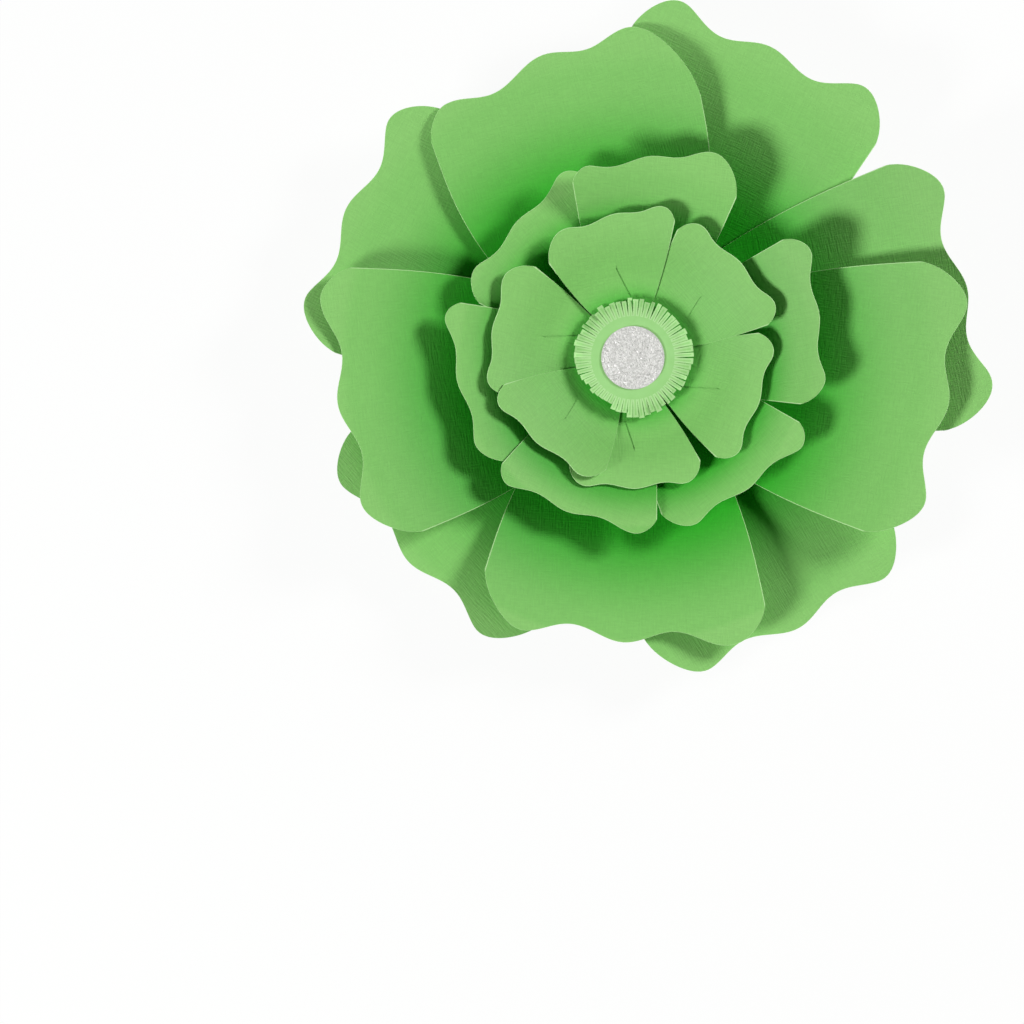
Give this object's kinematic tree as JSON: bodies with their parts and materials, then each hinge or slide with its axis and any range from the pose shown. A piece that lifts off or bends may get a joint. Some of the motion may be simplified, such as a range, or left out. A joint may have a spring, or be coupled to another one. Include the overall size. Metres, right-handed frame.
{
  "type": "giant paper flower",
  "caption": "Large paper flower of folded, slit and curled card petals in nested rounds, with a fringed cap and a glitter disc at its centre.",
  "frame": {"origin": "centre of the base disc's back face, where the flower meets the wall or table", "axes": "+Z out of the flower's face along its axis, +Y towards the top of the flower as it hangs on a wall, +X to the right"},
  "size_m": [0.4123, 0.4019, 0.0563],
  "materials": {
    "green_card": "matt card with a fine linen emboss",
    "pale_green_card": "matt card, smooth side out",
    "grey_board": "plain grey board",
    "white_foam": "matt foam",
    "silver_glitter": "coarse silver glitter on card"
  },
  "bodies": {
    "root": {"base_disc": "grey_board", "back_petal_1": "green_card", "back_petal_2": "green_card", "back_petal_3": "green_card", "back_petal_4": "green_card", "back_petal_5": "green_card", "front_petal_1": "green_card", "front_petal_2": "green_card", "front_petal_3": "green_card", "front_petal_4": "green_card", "middle_petal_1": "green_card", "middle_petal_2": "green_card", "middle_petal_3": "green_card", "middle_petal_4": "green_card", "middle_petal_5": "green_card", "middle_petal_6": "green_card", "small_petal_1": "green_card", "small_petal_2": "green_card", "small_petal_3": "green_card", "small_petal_4": "green_card", "small_petal_5": "green_card", "small_petal_6": "green_card", "middle_disc": "grey_board", "small_disc": "grey_board", "foam_pad": "white_foam", "fringe_cap": "pale_green_card", "glitter_disc": "silver_glitter"}
  },
  "joints": []
}
